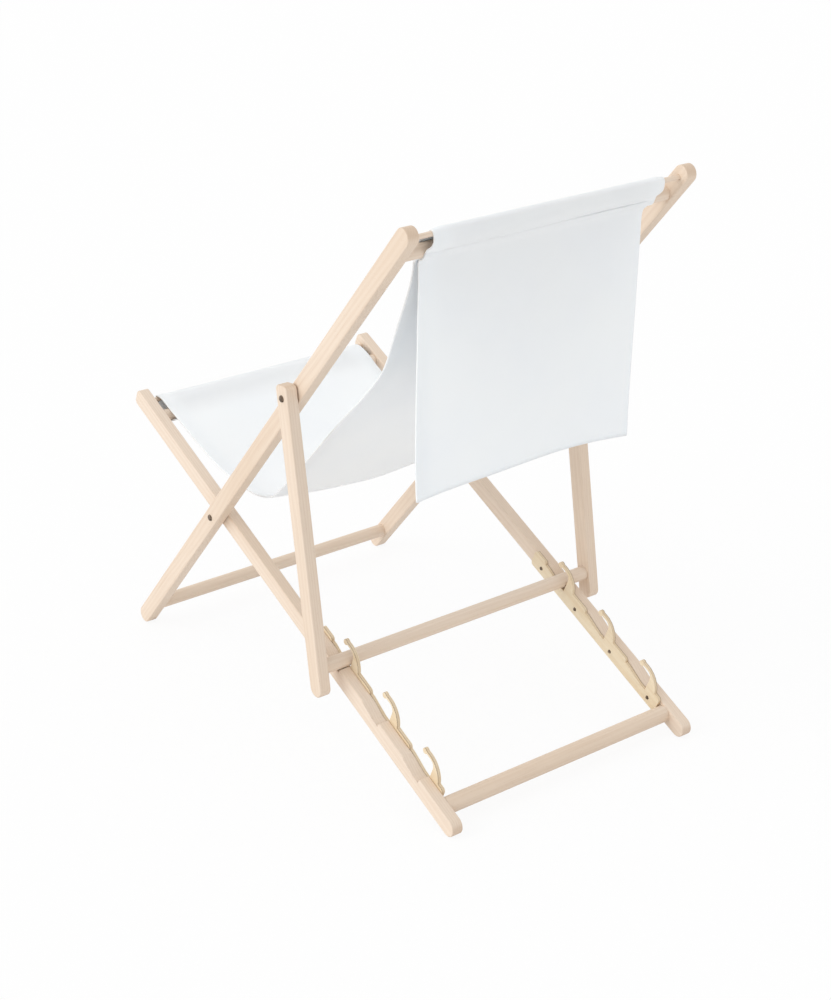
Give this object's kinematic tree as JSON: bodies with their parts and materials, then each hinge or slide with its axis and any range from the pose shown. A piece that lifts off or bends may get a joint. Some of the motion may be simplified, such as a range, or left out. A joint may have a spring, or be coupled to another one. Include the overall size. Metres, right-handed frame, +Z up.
{
  "type": "folding sling deck chair",
  "caption": "Folding wooden deck chair: a canvas sling hangs between two crossed frames, and a hinged prop frame rests in the notches of a rack with hooked fingers.",
  "frame": {"origin": "on the floor below the middle of the chair: half way between the front and rear feet, on the middle plane", "axes": "+Z up, the chair faces -Y, +Y towards the leaning back's head, +X to the left side of a person seated in it"},
  "size_m": [0.5852, 0.9279, 0.9524],
  "materials": {
    "beech": "clear oiled beech, satin",
    "plywood": "birch plywood, satin",
    "canvas": "plain woven cotton canvas, white",
    "bolt_steel": "dark zinc plated",
    "screw_steel": "dark zinc plated"
  },
  "bodies": {
    "seat_frame": {"seat_rail_left": "beech", "seat_rail_right": "beech", "front_bar": "beech", "front_rod": "beech", "rear_crossbar": "beech", "rack_comb_left": "plywood", "rack_comb_right": "plywood", "comb_screws_left": "screw_steel", "comb_screws_right": "screw_steel", "sling_seat": "canvas", "main_pivot_bolt_left": "bolt_steel", "main_pivot_bolt_right": "bolt_steel", "main_pivot_washer_left": "bolt_steel", "main_pivot_washer_right": "bolt_steel", "main_pivot_nut_left": "bolt_steel", "main_pivot_nut_right": "bolt_steel"},
    "back_frame": {"back_rail_left": "beech", "back_rail_right": "beech", "head_bar": "beech", "head_rod": "beech", "front_foot_crossbar": "beech", "sling_back": "canvas", "prop_pivot_bolt_left": "bolt_steel", "prop_pivot_bolt_right": "bolt_steel", "prop_pivot_washer_left": "bolt_steel", "prop_pivot_washer_right": "bolt_steel", "prop_pivot_nut_left": "bolt_steel", "prop_pivot_nut_right": "bolt_steel"},
    "prop_frame": {"prop_leg_left": "beech", "prop_leg_right": "beech", "prop_crossbar": "beech"},
    "rear_flap": {"rear_flap": "canvas"}
  },
  "joints": [
    {"name": "main_pivot", "type": "hinge", "parent": "seat_frame", "child": "back_frame", "pos_m": [0, -0.1813, 0.30842], "axis": [1, 0, 0], "range_deg": [0, 20]},
    {"name": "prop_pivot", "type": "hinge", "parent": "back_frame", "child": "prop_frame", "pos_m": [0, 0.10026, 0.61737], "axis": [1, 0, 0], "range_deg": [-17, 0]},
    {"name": "flap_seam", "type": "hinge", "parent": "back_frame", "child": "rear_flap", "pos_m": [0, 0.3523, 0.88928], "axis": [1, 0, 0], "range_deg": [-12, 60]}
  ],
  "couplings": [
    {"joint": "prop_pivot", "follows": "main_pivot", "ratio": -0.85}
  ]
}
